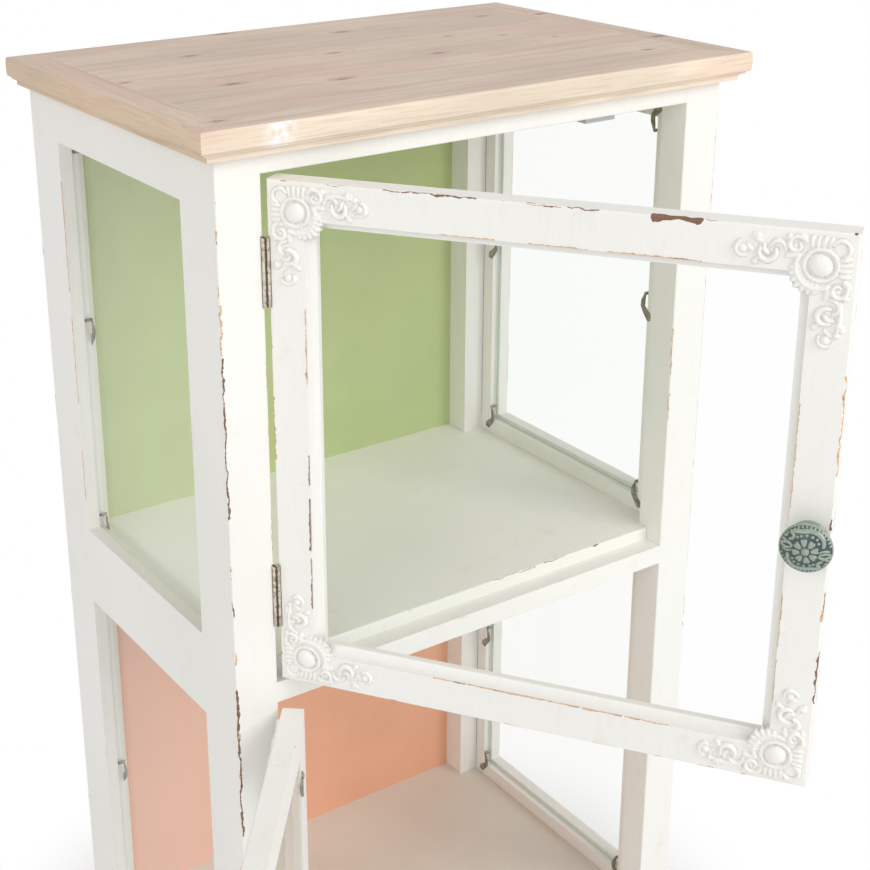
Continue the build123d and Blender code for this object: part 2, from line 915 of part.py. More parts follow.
def ornament():
    """One corner ornament, the same on both arms, built up in three heights of relief."""
    body = extrude(shell_fan(), ring_height) + cabochon()
    for arm in (along_arm, along_twin):
        body += extrude(ornament_ground(arm), ornament_base)
        body += extrude(ornament_curls(arm), scroll_height)
    return body


def door():
    """Every piece of one door in its own frame, by node name; groups as lists."""
    members = mitred_frame(door_section(), door_frame_width, door_width, door_height)
    bottom, lock, top, hinge = members
    lock -= knob_place * knob_bolt(fit_gap)
    carving = ornament()
    corners = [
        carving,
        Pos(door_width, 0) * Rot(0, 0, 90) * carving,
        Pos(door_width, door_height) * Rot(0, 0, 180) * carving,
        Pos(0, door_height) * Rot(0, 0, -90) * carving,
    ]
    strike_x = catch_from_middle + door_width / 2
    strike = block(
        strike_x - catch_width / 2, strike_x + catch_width / 2,
        door_height - strike_height - 1, door_height - 1,
        -door_thickness - strike_thickness, -door_thickness,
    )
    strike_screws = []
    for side in (-1, 1):
        y = door_height - 1 - strike_height / 2
        place = Pos(strike_x + side * catch_width / 3, y, -door_thickness - strike_thickness)
        strike_screws.append(place * Rot(180, 0, 0) * small_screw())
    return {
        "hinge_stile": hinge,
        "lock_stile": lock,
        "top_rail": top,
        "bottom_rail": bottom,
        "pane": door_pane(),
        "ornaments": corners,
        "knob": knob_place * knob(),
        "knob_bolt": knob_place * knob_bolt(),
        "clips": door_clips(),
        "strike": strike,
        "screws": strike_screws,
    }


def closed_place(storey):
    """From the door's own frame to its closed place in the cabinet."""
    z = sills[storey] + door_bottom_gap
    return Pos(door_edge_x, front, z) * Rot(90, 0, 0)


def swing(storey):
    """The turn about the hinge pins that opens the door."""
    angle = door_angles[storey]
    return Pos(hinge_x, hinge_y) * Rot(0, 0, -angle) * Pos(-hinge_x, -hinge_y)


post_leaves = []
bottoms = hinge_bottoms()
for storey, storey_bottoms in (("lower", bottoms[:2]), ("upper", bottoms[2:])):
    pieces = door()
    for name, piece in pieces.items():
        group = piece if isinstance(piece, list) else [piece]
        pieces[name] = [closed_place(storey) * item for item in group]
    for cut in hinge_relief():
        pieces["hinge_stile"] = [pieces["hinge_stile"][0] - cut]
    pieces["hinge_leaves"] = []
    for z0 in storey_bottoms:
        post_leaf, door_leaf, post_screws, door_screws = hinge_pieces(z0)
        post_leaves.append(post_leaf)
        small_screws += post_screws
        pieces["hinge_leaves"].append(door_leaf)
        pieces["screws"] += door_screws
    for name, group in pieces.items():
        opened = [swing(storey) * item for item in group]
        save(f"{storey}_door_{name}", opened if len(opened) > 1 else opened[0])
save("hinge_post_leaves", post_leaves)
save("small_screws", small_screws)
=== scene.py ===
import json
import math

import bpy
import numpy as np
from mathutils import Matrix, Vector


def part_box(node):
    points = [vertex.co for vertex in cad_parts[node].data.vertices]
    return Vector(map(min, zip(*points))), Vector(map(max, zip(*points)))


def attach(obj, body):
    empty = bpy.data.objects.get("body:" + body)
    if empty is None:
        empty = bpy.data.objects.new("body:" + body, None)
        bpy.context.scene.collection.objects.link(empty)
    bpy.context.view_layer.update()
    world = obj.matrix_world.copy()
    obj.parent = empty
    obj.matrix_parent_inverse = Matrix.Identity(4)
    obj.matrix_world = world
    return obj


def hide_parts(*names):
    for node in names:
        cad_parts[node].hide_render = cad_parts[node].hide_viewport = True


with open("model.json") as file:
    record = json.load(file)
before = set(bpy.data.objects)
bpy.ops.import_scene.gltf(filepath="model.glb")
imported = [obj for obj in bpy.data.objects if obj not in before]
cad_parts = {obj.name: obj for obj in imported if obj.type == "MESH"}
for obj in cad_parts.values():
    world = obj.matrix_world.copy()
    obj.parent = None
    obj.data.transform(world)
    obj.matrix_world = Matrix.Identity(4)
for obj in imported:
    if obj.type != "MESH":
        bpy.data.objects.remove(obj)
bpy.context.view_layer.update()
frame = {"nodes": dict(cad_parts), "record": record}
nodes = frame["nodes"]
DOORS = ("lower_door", "upper_door")
MM = 0.001
top_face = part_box("top_panel")[1].z
dice = np.random.default_rng(11)
X, Y, Z = np.eye(3)

# Knots of the planks, and then of the border, as x, y and radius in millimetres
KNOTS = (
    (-155, -47, 3.2), (-127, 75, 2.6), (-218, 4, 1.8), (34, 101, 3.0), (-26, 18, 2.2), (-79, -78, 2.4),
    (42, -32, 2.6), (96, 29, 1.6), (185, 99, 2.2), (137, 6, 1.5), (168, -26, 1.3), (188, -120, 2.0),
)
BORDER_KNOTS = ((-199, -135, 3.0), (-224, -151, 2.2), (-55, 154, 3.0), (240, -77, 3.6), (236, 77, 2.6))

# Planks of the top in metres: how far before the middle the first starts, and how wide each is
FIRST_PLANK = 0.149
PLANK = 0.0988

# Plank width that stands for wood without seams
WHOLE = 1.0

# Doors in millimetres: their thickness, and the width of the flat of their frames
DOOR_THICK = 17.0
DOOR_FLAT = 27.0

# A carved corner in millimetres: its boss from both edges, and the cell of the grid it is carved on
BOSS = 21.5
CARVING_CELL = 0.42

# A knob in millimetres: its drop below the door's middle, half the width of its grid, and its cell
KNOB_DROP = 8.2
KNOB_FIELD = 18.0
KNOB_CELL = 0.25

# Colour of the chalk paint
CHALK = (0.90, 0.885, 0.845)

# Camera, fitted to the straight edges of the cabinet in the photograph
CAMERA_PLACE = Vector((-0.7109, -1.0736, 1.1580))
CAMERA_YAW = math.radians(33.51)
CAMERA_PITCH = math.radians(20.23)
CAMERA_ROLL = math.radians(0.481)
CAMERA_LENS = 65.87
CAMERA_SHIFT = (0.0683, -0.1113)


# Node graphs

class Graph:
    """The node tree of a material or world, with short calls that add nodes to it."""

    def __init__(self, name, owners=bpy.data.materials):
        self.owner = owners.new(name)
        self.owner.use_nodes = True
        self.tree = self.owner.node_tree
        self.tree.nodes.clear()
        self.place = self.add("ShaderNodeTexCoord").outputs["Object"]

    def add(self, kind, **inputs):
        """Adds a node. Names in capitals are its settings, the rest its inputs."""
        node = self.tree.nodes.new(kind)
        for name, value in inputs.items():
            if name.isupper():
                setattr(node, name.lower(), value)
        for name, value in inputs.items():
            if not name.isupper():
                self.feed(node.inputs[name.replace("_", " ")], value)
        return node

    def feed(self, socket, value):
        """Links an output to a socket, or sets its value."""
        if isinstance(value, bpy.types.NodeSocket):
            self.tree.links.new(value, socket)
        elif socket.type == "RGBA" and len(value) == 3:
            socket.default_value = (*value, 1)
        else:
            socket.default_value = value

    def feed_first(self, node, *values):
        """Feeds a node's first sockets in their order."""
        for socket, value in zip(node.inputs, values):
            self.feed(socket, value)

    def math(self, operation, first, second=0.0):
        """One sum of two numbers."""
        node = self.add("ShaderNodeMath", OPERATION=operation)
        self.feed_first(node, first, second)
        return node.outputs[0]

    def times(self, *values):
        """The product of some numbers."""
        result = values[0]
        for value in values[1:]:
            result = self.math("MULTIPLY", result, value)
        return result

    def vector(self, operation, first, second=(0, 0, 0)):
        """The node of one sum of two vectors."""
        node = self.add("ShaderNodeVectorMath", OPERATION=operation)
        self.feed_first(node, first, second)
        return node

    def mix(self, share, first, second):
        """A colour between two colours."""
        node = self.add("ShaderNodeMix", DATA_TYPE="RGBA", Factor=share)
        self.feed(node.inputs[6], first)
        self.feed(node.inputs[7], second)
        return node.outputs[2]

    def mix_shaders(self, share, first, second):
        """A shader between two shaders."""
        node = self.add("ShaderNodeMixShader")
        self.feed_first(node, share, first, second)
        return node.outputs[0]

    def step(self, value, low, high, bottom=0.0, top=1.0):
        """A smooth step: bottom below low, top above high."""
        node = self.add("ShaderNodeMapRange", INTERPOLATION_TYPE="SMOOTHSTEP")
        self.feed_first(node, value, low, high, bottom, top)
        return node.outputs[0]

    def stretched(self, scale, turn=(0, 0, 0), place=None):
        """A place on the object, scaled and turned."""
        node = self.add("ShaderNodeMapping", Vector=place or self.place, Scale=scale, Rotation=turn)
        return node.outputs[0]

    def noise(self, size, detail=3.0, roughness=0.5, stretch=(1, 1, 1), place=None, warp=0.0):
        """Noise with lumps of about a size in metres, longer along an axis whose stretch is small."""
        node = self.add(
            "ShaderNodeTexNoise", Vector=self.stretched(stretch, place=place), Scale=1 / size,
            Detail=detail, Roughness=roughness, Distortion=warp)
        return node.outputs["Fac"]

    def bump(self, height, depth):
        """A normal roughened by a height between 0 and 1 of a depth in metres."""
        return self.add("ShaderNodeBump", Height=height, Distance=depth).outputs["Normal"]

    def finish(self, colour, roughness, normal=None, **plain):
        """Ends the graph in a Principled shader."""
        shader = self.add("ShaderNodeBsdfPrincipled", Base_Color=colour, Roughness=roughness, **plain)
        if normal is not None:
            self.feed(shader.inputs["Normal"], normal)
        return self.output(shader.outputs[0])

    def output(self, shader):
        """Sends a shader to the material's surface."""
        self.add("ShaderNodeOutputMaterial", Surface=shader)
        return self.owner


# Materials

def white_paint(name, colour=CHALK):
    """Chalky white paint brushed on wood, uneven in tone."""
    graph = Graph(name)
    broad = graph.step(graph.noise(0.16, detail=3), 0.3, 0.75)
    streaks = graph.noise(0.004, detail=3, stretch=(1, 1, 0.08))
    specks = graph.noise(0.0022, detail=2)
    smudge = graph.noise(0.03, detail=4, roughness=0.65)
    paint = graph.mix(graph.times(broad, 0.4), colour, (0.85, 0.83, 0.77))
    paint = graph.mix(graph.times(graph.step(streaks, 0.5, 0.8), 0.10), paint, (0.74, 0.71, 0.64))
    paint = graph.mix(graph.times(graph.step(smudge, 0.60, 0.72), 0.16), paint, (0.72, 0.66, 0.56))
    paint = graph.mix(graph.times(graph.step(specks, 0.74, 0.78), 0.5), paint, (0.55, 0.45, 0.35))
    normal = graph.bump(streaks, 0.0002)
    return graph.finish(paint, graph.step(broad, 0, 1, 0.46, 0.55), normal)


def bare_wood(name):
    """Wood laid bare where the paint is rubbed off: orange where fresh, brown where old."""
    graph = Graph(name)
    age = graph.add("ShaderNodeAttribute", ATTRIBUTE_NAME="age").outputs["Fac"]
    grain = graph.noise(0.0016, detail=3, roughness=0.6)
    patches = graph.noise(0.008, detail=2)
    fresh = graph.mix(grain, (0.62, 0.34, 0.17), (0.78, 0.52, 0.30))
    old = graph.mix(grain, (0.10, 0.05, 0.032), (0.33, 0.18, 0.11))
    share = graph.math("ADD", age, graph.times(graph.math("SUBTRACT", patches, 0.5), 0.9))
    return graph.finish(graph.mix(graph.step(share, 0.3, 0.7), fresh, old), 0.7)


def carved_white(name):
    """White paint on carving, grey and brown in its hollows, more so the deeper a point lies below the
    carving around it.
    """
    graph = Graph(name)
    hollow = graph.add("ShaderNodeAttribute", ATTRIBUTE_NAME="hollow").outputs["Fac"]
    stain = graph.noise(0.003, detail=3)
    paint = graph.mix(graph.times(stain, 0.3), CHALK, (0.83, 0.815, 0.77))
    deep = graph.step(graph.math("ADD", hollow, graph.times(stain, 0.7)), 0.85, 1.5)
    return graph.finish(graph.mix(deep, paint, (0.55, 0.50, 0.43)), 0.5, graph.bump(stain, 0.0002))


def knot_field(graph, place, knots):
    """How many radii off the nearest knot a place is, for knots (x, y, radius)."""
    near = None
    for x, y, radius in knots:
        off = graph.vector("SUBTRACT", place, (x * MM, y * MM, top_face))
        oval = graph.vector("MULTIPLY", off.outputs["Vector"], (0.42, 1.0, 0.0))
        reach = graph.vector("LENGTH", oval.outputs["Vector"])
        here = graph.math("DIVIDE", reach.outputs["Value"], radius * MM)
        near = here if near is None else graph.math("MINIMUM", near, here)
    return near


def plank_rows(graph, plank_width, turned):
    """A place shifted by its plank, so that no two planks match, and its rank across the planks."""
    place = graph.stretched((1, 1, 1), (0, 0, math.pi / 2) if turned else (0, 0, 0))
    split = graph.add("ShaderNodeSeparateXYZ", Vector=place)
    along, across, up = split.outputs
    rank = graph.math("DIVIDE", graph.math("ADD", across, FIRST_PLANK), plank_width)
    row = graph.math("FLOOR", rank)
    across = graph.math("ADD", across, graph.times(row, 1.3))
    shifted = graph.add("ShaderNodeCombineXYZ")
    graph.feed_first(shifted, graph.math("ADD", along, graph.times(row, 3.7)), across, up)
    return shifted.outputs[0], across, rank


def pine(name, plank_width, knots, pale, turned=False, filler=None):
    """Bare waxed pine with soft grain and knots. Planks run along X, or along Y if turned.

    filler is a place (x, y, radius) where white filler shows.
    """
    graph = Graph(name)
    plank, across, rank = plank_rows(graph, plank_width, turned)
    near = knot_field(graph, graph.place, knots)
    flow = graph.noise(0.03, detail=3, stretch=(0.12, 1, 1), place=plank, warp=0.5)
    lines = graph.math("ADD", graph.times(across, 150.0), graph.times(flow, 7.0))
    pull = graph.step(near, 0.8, 6.0, 1.0, 0.0)
    lines = graph.math("ADD", lines, graph.times(pull, 3.0))
    rings = graph.math("ABSOLUTE", graph.math("SINE", lines))
    fibre = graph.noise(0.0014, detail=2, stretch=(0.03, 1, 1), place=plank)
    tone = graph.noise(0.07, detail=2, stretch=(0.35, 1, 1), place=plank)
    blush = graph.noise(0.05, detail=3, stretch=(0.25, 1, 1), place=plank)
    dull = tuple(0.86 * part for part in pale)
    pink = (pale[0] * 0.93, pale[1] * 0.80, pale[2] * 0.80)
    line = (pale[0] * 0.70, pale[1] * 0.58, pale[2] * 0.54)
    colour = graph.mix(graph.step(tone, 0.35, 0.65), pale, dull)
    colour = graph.mix(graph.times(graph.step(blush, 0.45, 0.70), 0.75), colour, pink)
    thin = graph.step(rings, 0.80, 0.99)
    colour = graph.mix(graph.times(thin, graph.step(flow, 0.35, 0.7, 0.06, 0.42)), colour, line)
    colour = graph.mix(graph.times(graph.step(fibre, 0.48, 0.66), 0.4), colour, line)
    halo = graph.step(near, 0.9, 2.6, 0.4, 0.0)
    colour = graph.mix(halo, colour, (0.36, 0.22, 0.16))
    core = graph.step(near, 0.5, 1.1, 0.75, 0.0)
    colour = graph.mix(core, colour, (0.27, 0.13, 0.075))
    if filler:
        patch = graph.step(knot_field(graph, graph.place, [filler]), 0.2, 1.2, 0.8, 0.0)
        blots = graph.step(graph.noise(0.006, detail=3), 0.35, 0.6)
        colour = graph.mix(graph.times(patch, blots), colour, (0.92, 0.92, 0.94))
    if plank_width < WHOLE:
        off_middle = graph.math("ABSOLUTE", graph.math("SUBTRACT", graph.math("FRACT", rank), 0.5))
        colour = graph.mix(graph.step(off_middle, 0.4925, 0.498, 0.0, 0.45), colour, line)
    return graph.finish(colour, 0.5, graph.bump(fibre, 0.0002))


def painted_panel(name, colour, dark):
    """A back panel painted one colour, with faint mottling."""
    graph = Graph(name)
    mottle = graph.noise(0.05, detail=4, roughness=0.6)
    grit = graph.noise(0.0012, detail=2)
    paint = graph.mix(graph.times(graph.step(mottle, 0.35, 0.7), 0.5), colour, dark)
    return graph.finish(paint, 0.6, graph.bump(grit, 0.0002))


def glass(name):
    """Clear float glass, faintly smeared. Shadow and diffuse rays pass it unbent."""
    graph = Graph(name)
    smear = graph.step(graph.noise(0.05, detail=2), 0.55, 0.9, 0.0, 0.01)
    bent = graph.add(
        "ShaderNodeBsdfPrincipled", Base_Color=(0.985, 0.995, 0.988), Transmission_Weight=1.0,
        Roughness=smear)
    bent.inputs["IOR"].default_value = 1.25
    clear = graph.add("ShaderNodeBsdfTransparent", Color=(0.97, 0.985, 0.975))
    light = graph.add("ShaderNodeLightPath")
    passed = graph.math("MAXIMUM", light.outputs["Is Shadow Ray"], light.outputs["Is Diffuse Ray"])
    return graph.output(graph.mix_shaders(passed, bent.outputs[0], clear.outputs[0]))


def glass_edge(name):
    """The cut edge of float glass: pale green."""
    graph = Graph(name)
    chips = graph.noise(0.002, detail=3)
    return graph.finish(graph.mix(chips, (0.62, 0.72, 0.65), (0.76, 0.83, 0.77)), 0.25)


def metal(name, colour, dark, roughness):
    """Aged plated metal, duller and browner in patches."""
    graph = Graph(name)
    patches = graph.noise(0.004, detail=4, roughness=0.6)
    fine = graph.noise(0.0006, detail=2)
    tone = graph.mix(graph.step(patches, 0.4, 0.65), colour, dark)
    rough = graph.step(patches, 0.3, 0.7, roughness, roughness + 0.2)
    return graph.finish(tone, rough, graph.bump(fine, 0.00005), Metallic=1.0)


def hinge_metal(name):
    """Worn nickel, brown in patches, with a painted reflection: a dark streak down the front of the barrels.
    """
    graph = Graph(name)
    split = graph.add("ShaderNodeSeparateXYZ", Vector=graph.place)
    pin = frame["record"]["behaviour"]["joints"][0]["pos_m"][0]
    # Painted reflection: a near-black streak, a little wavy, 1.3 mm to the side of the pin, down the front
    # of the barrels
    wander = graph.times(graph.math("SUBTRACT", graph.noise(0.003, detail=3), 0.5), 0.0012)
    off = graph.math("ADD", graph.math("SUBTRACT", split.outputs["X"], pin - 1.3 * MM), wander)
    painted_reflection_streak = graph.step(graph.math("ABSOLUTE", off), 0.0005, 0.0011, 0.92, 0.0)
    patches = graph.noise(0.004, detail=4, roughness=0.6)
    tone = graph.mix(graph.step(patches, 0.45, 0.65), (0.74, 0.68, 0.58), (0.46, 0.38, 0.30))
    # The painted reflection streak is laid over the nickel and its brown patches
    return graph.finish(graph.mix(painted_reflection_streak, tone, (0.05, 0.03, 0.02)), 0.4, Metallic=0.6)


def ceramic(name):
    """Green glaze, sage on the relief and dark teal where it pooled in the hollows."""
    graph = Graph(name)
    hollow = graph.add("ShaderNodeAttribute", ATTRIBUTE_NAME="hollow").outputs["Fac"]
    pools = graph.noise(0.0022, detail=3)
    share = graph.math("ADD", hollow, graph.times(graph.math("SUBTRACT", pools, 0.5), 0.8))
    relief = graph.mix(pools, (0.25, 0.31, 0.25), (0.36, 0.41, 0.34))
    colour = graph.mix(graph.step(share, 0.35, 0.75), relief, (0.03, 0.075, 0.068))
    return graph.finish(colour, 0.16, Coat_Weight=0.4)


def plastic(name):
    """Light grey moulded plastic."""
    graph = Graph(name)
    grain = graph.noise(0.0008, detail=2)
    tone = graph.mix(grain, (0.50, 0.50, 0.52), (0.58, 0.58, 0.60))
    return graph.finish(tone, 0.5, graph.bump(grain, 0.0001))


def slot_finishes():
    """The finish of each material slot in the record."""
    return {
        "white_paint": white_paint("white_paint"),
        "carved_white": carved_white("carved_white"),
        "bare_pine": pine("pine_planks", PLANK, KNOTS, (0.755, 0.61, 0.49)),
        "green_panel": painted_panel("green_panel", (0.52, 0.61, 0.29), (0.47, 0.56, 0.25)),
        "salmon_panel": painted_panel("salmon_panel", (0.88, 0.46, 0.30), (0.83, 0.42, 0.27)),
        "clear_glass": glass("clear_glass"),
        "green_ceramic": ceramic("green_ceramic"),
        "nickel": metal("nickel", (0.80, 0.73, 0.62), (0.50, 0.40, 0.30), 0.35),
        "dark_steel": metal("dark_steel", (0.40, 0.36, 0.30), (0.24, 0.20, 0.16), 0.42),
        "grey_plastic": plastic("grey_plastic"),
    }


def dress_pane(mesh, edge):
    """Gives the narrow faces of a pane the look of a cut edge."""
    mesh.materials.append(edge)
    largest = max(face.area for face in mesh.polygons)
    for face in mesh.polygons:
        face.material_index = 0 if face.area > 0.2 * largest else 1


def dress_border():
    """Gives the border and the moulding pine whose grain follows each run, in other tones on top, with the
    front and back runs painted lighter as painted light.
    """
    # Painted light: the front and back runs, apart from the border's top, are painted much lighter than the
    # tops and the side runs
    finishes = [
        pine("pine_front", WHOLE, BORDER_KNOTS, (0.90, 0.77, 0.61), filler=(-190, -175.5, 6)),
        pine("pine_side", WHOLE, BORDER_KNOTS, (0.76, 0.59, 0.42), turned=True),
        pine("pine_front_top", WHOLE, BORDER_KNOTS, (0.77, 0.625, 0.50)),
        pine("pine_side_top", WHOLE, BORDER_KNOTS, (0.75, 0.605, 0.48), turned=True),
    ]
    for name in ("top_border", "top_moulding"):
        mesh = nodes[name].data
        mesh.materials.clear()
        for finish in finishes:
            mesh.materials.append(finish)
        for face in mesh.polygons:
            upward = face.normal.z > 0.7 and name == "top_border"
            face.material_index = int(runs_sideways(face.center)) + 2 * int(upward)


def dress_nodes():
    """Gives every CAD node the finish of its slot, and some nodes one of their own."""
    finishes = slot_finishes()
    edge = glass_edge("glass_edge")
    for part in frame["record"]["subparts"]:
        piece = nodes[part["node"]]
        piece.data.materials.clear()
        piece.data.materials.append(finishes[part["material_slot"]])
        if part["material_slot"] == "clear_glass":
            dress_pane(piece.data, edge)
    hinge = hinge_metal("hinge_nickel")
    own = {
        # Painted light: the shelf's white paint is lighter than the chalk paint elsewhere, to offset the
        # shade inside the cabinet
        "shelf_board": white_paint("shelf_paint_painted_light", (0.93, 0.925, 0.88)),
        "floor_board": white_paint("floor_paint", (0.70, 0.63, 0.55)),
        "carcass_screws": finishes["white_paint"],
        "hinge_post_leaves": hinge,
        "lower_door_hinge_leaves": hinge,
        "upper_door_hinge_leaves": hinge,
    }
    for name, finish in own.items():
        nodes[name].data.materials[0] = finish
    dress_border()
    return finishes


def runs_sideways(place):
    """True for a place on the side pieces of the border, which meet the front and back on a mitre."""
    low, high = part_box("top_border")
    from_side = min(place.x - low.x, high.x - place.x)
    from_end = min(place.y - low.y, high.y - place.y)
    return from_side < from_end


# Places of the doors

def door_place(door):
    """Place at rest of a door's own frame, and the door's width and height in millimetres.

    X runs across the door, Y up it and Z out of its face.
    """
    joints = frame["record"]["behaviour"]["joints"]
    joint = next(one for one in joints if one["child"] == door)
    hinge = Vector(joint["pos_m"])
    swing = Matrix.Translation(hinge)
    swing @= Matrix.Rotation(math.radians(joint["range_deg"][0]), 4, "Z")
    swing @= Matrix.Translation(-hinge)
    shut = swing.inverted()
    corners = []
    for member in ("hinge_stile", "lock_stile", "top_rail", "bottom_rail"):
        corners += [shut @ vertex.co for vertex in nodes[f"{door}_{member}"].data.vertices]
    low = Vector(min(corner[k] for corner in corners) for k in range(3))
    high = Vector(max(corner[k] for corner in corners) for k in range(3))
    upright = Matrix.Rotation(math.pi / 2, 4, "X")
    return swing @ Matrix.Translation(low) @ upright, (high.x - low.x) / MM, (high.z - low.z) / MM


class Faces:
    """Vertices and faces of one piece in millimetres, with a value for each vertex."""

    def __init__(self):
        self.points = []
        self.faces = []
        self.values = []

    def add(self, points, faces, values):
        """Adds points, the faces between them and their values."""
        first = len(self.points)
        self.points += points.tolist()
        self.faces += (faces + first).tolist()
        self.values += values.tolist()

    def grid(self, points, values, closed=False, keep=None):
        """Adds a grid of points (rows, columns, 3), closed round its columns if asked.

        keep says for each row whether it counts: a face is made between two rows that do.
        """
        rows, columns = values.shape
        across = np.arange(columns if closed else columns - 1)
        beside = (across + 1) % columns
        kept = np.ones(rows, bool) if keep is None else keep
        lower = columns * np.nonzero(kept[:-1] & kept[1:])[0][:, None]
        upper = lower + columns
        corners = (lower + across, lower + beside, upper + beside, upper + across)
        self.add(points.reshape(-1, 3), np.stack(corners, axis=2).reshape(-1, 4), values.ravel())

    def piece(self, name, place, material, body, value_name):
        """Makes the piece, in metres at its place, and lets it ride on a body."""
        mesh = bpy.data.meshes.new(name)
        mesh.from_pydata([place @ (Vector(point) * MM) for point in self.points], [], self.faces)
        mesh.materials.append(material)
        values = mesh.attributes.new(value_name, "FLOAT", "POINT")
        values.data.foreach_set("value", self.values)
        mesh.polygons.foreach_set("use_smooth", [True] * len(mesh.polygons))
        mesh.update()
        piece = bpy.data.objects.new(name, mesh)
        bpy.context.scene.collection.objects.link(piece)
        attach(piece, body)
        return piece


# Paint rubbed off the arrises

def ragged(count, size):
    """Smooth random numbers between 0 and 1, with lumps of a size in steps."""
    knots = dice.random(int(count / size) + 3)
    return np.interp(np.arange(count) / size, np.arange(len(knots)), knots)


def rub(faces, start, along, first, second, spans, radius=1.2, lift=0.07):
    """Bare patches along an arris from a start point.

    first and second point away from the arris along its two faces. Each span is
    (from, to, width, age): its reach along the arris, how wide it is, and 0 fresh to 1 old.
    A patch tapers at its ends and breaks off where it grows thin.
    """
    start, along, first, second = (np.array(v, float) for v in (start, along, first, second))
    step = 0.35
    arc = radius * math.pi / 2
    for low, high, width, age in spans:
        count = max(int((high - low) / step), 5)
        t = np.linspace(0, 1, count)
        ends = np.clip(np.minimum(t, 1 - t) * count * step / 2.0, 0, 1)
        chips = 0.35 + ragged(count, 2 + 1.5 * width)
        half = width * ends * chips * (0.35 + 0.65 * ragged(count, 16))
        middle = arc / 2 + arc * (ragged(count, 12) - 0.5)
        rows = start + np.outer(low + t * (high - low), along)
        section = []
        for share in np.linspace(-1, 1, 7 if width < 2 else 11):
            reach = middle + share * half
            turn = np.clip(reach / arc, 0, 1) * math.pi / 2
            outward = np.outer(np.sin(turn), first) + np.outer(np.cos(turn), second)
            round_part = radius * (first + second) - (radius + lift) * outward
            over_first = np.clip(-reach, 0, None)[:, None] * first
            over_second = np.clip(reach - arc, 0, None)[:, None] * second
            section.append(rows + round_part + over_second + over_first)
        ages = np.clip(age + 0.3 * (ragged(count, 9) - 0.5), 0, 1)
        shades = np.repeat(ages[:, None], len(section), axis=1)
        faces.grid(np.stack(section, axis=1), shades, keep=half > 0.17 * width)


def stray(length, count, width, age):
    """A few short random spans along an arris."""
    spans = []
    for _ in range(count):
        low = dice.random() * (length - 8)
        size = 2.0 + 16 * dice.random() ** 2
        spans.append((low, low + size, width * (0.4 + 0.6 * dice.random()), age * dice.random()))
    return spans


def side_rubs(faces):
    """Worn arrises of the side frames and their windows."""
    left, front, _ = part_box("left_front_stile")[0] / MM
    window, back = (corner.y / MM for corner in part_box("left_back_stile"))
    stile = 900
    corner = [
        (766, 806, 1.0, 0.1), (640, 766, 1.1, 1.0), (366, 500, 1.4, 1.0), (420, 424, 3.2, 0.1),
        (455, 463, 2.6, 0.2), (520, 532, 0.8, 0.4), (560, 575, 0.8, 0.8), (852, 858, 1.0, 0.1),
        (250, 330, 1.0, 0.7), (120, 170, 1.2, 0.8), (2, 30, 2.0, 0.7),
    ]
    rub(faces, (left, front, 0), Z, X, Y, corner + stray(stile, 14, 0.8, 1.0))
    right = [
        (792, 823, 0.9, 0.1), (400, 406, 2.4, 1.0), (411, 422, 1.8, 1.0), (428, 432, 1.8, 1.0),
        (438, 443, 1.4, 1.0), (690, 700, 0.8, 0.3), (560, 566, 1.0, 0.6), (4, 24, 1.8, 0.8),
        (470, 880, 0.35, 0.1),
    ]
    rub(faces, (-left, front, 0), Z, -X, Y, right + stray(stile, 12, 0.7, 0.8))
    rear = [(760, 770, 1.0, 0.8), (610, 634, 0.9, 1.0), (3, 40, 1.2, 0.9)]
    rub(faces, (left, back, 0), Z, X, -Y, rear + stray(stile, 16, 0.8, 1.0))
    rub(faces, (-left, back, 0), Z, -X, -Y, rear + stray(stile, 16, 0.8, 1.0))
    for x, inward in ((left, X), (-left, -X)):
        rear_arris = [(551, 600, 0.5, 0.1), (640, 720, 0.5, 0.1), (740, 836, 0.5, 0.1)]
        rub(faces, (x, window, 0), Z, Y, inward, rear_arris + stray(440, 5, 0.5, 0.5), radius=0.1)
        rub(faces, (x, -window, 110), Z, -Y, inward, stray(300, 4, 0.4, 0.5), radius=0.1)


def front_rubs(faces):
    """Worn arrises of the front's posts and rails, and of the shelf."""
    front = (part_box("left_front_stile")[0] / MM).y
    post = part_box("left_front_post")[1].x / MM
    length = 800
    lock_side = [(614, 640, 0.6, 0.1), (655, 700, 0.8, 0.2), (300, 318, 0.7, 0.5)]
    rub(faces, (-post, front, 0), Z, X, Y, lock_side + stray(length, 6, 0.5, 0.5))
    hinge_side = [(250, 256, 0.6, 0.2), (735, 760, 0.6, 0.1), (600, 640, 0.5, 0.1)]
    rub(faces, (post, front, 0), Z, -X, Y, hinge_side + stray(length, 6, 0.5, 0.4))
    for node in ("front_mid_rail", "front_bottom_rail"):
        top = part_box(node)[1].z / MM
        rub(faces, (post, front, top), X, Y, -Z, stray(-2 * post, 7, 0.5, 0.8), radius=0.9)
    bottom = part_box("front_bottom_rail")[0].z / MM
    rub(faces, (post, front, bottom), X, Y, Z, stray(-2 * post, 5, 0.6, 0.8))
    low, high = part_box("shelf_board")
    lip = [(220, 268, 0.25, 1.0), (275, 300, 0.35, 1.0), (330, 338, 0.8, 0.8)]
    rub(faces, (post, low.y / MM, high.z / MM), X, Y, -Z, lip + stray(380, 8, 0.4, 0.9))


def panel_seams(faces):
    """Dark seams where the right back post meets its stile, one a storey."""
    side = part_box("right_back_stile")[0].x / MM
    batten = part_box("right_back_post")[0].y / MM
    for storey in ("lower", "upper"):
        bottom, top = (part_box(f"{storey}_back_panel")[k].z / MM for k in (0, 1))
        seam = [(bottom + 20, top - 10, 0.3, 0.9), (bottom + 60, top - 90, 0.35, 1.0)]
        rub(faces, (side, batten, 0), Z, -X, -Y, seam, radius=0.05, lift=-0.2)


def carcass_rubs(material):
    """Worn arrises and dark seams of the carcass."""
    faces = Faces()
    side_rubs(faces)
    front_rubs(faces)
    panel_seams(faces)
    faces.piece("carcass_rubs", Matrix(), material, "carcass", "age")


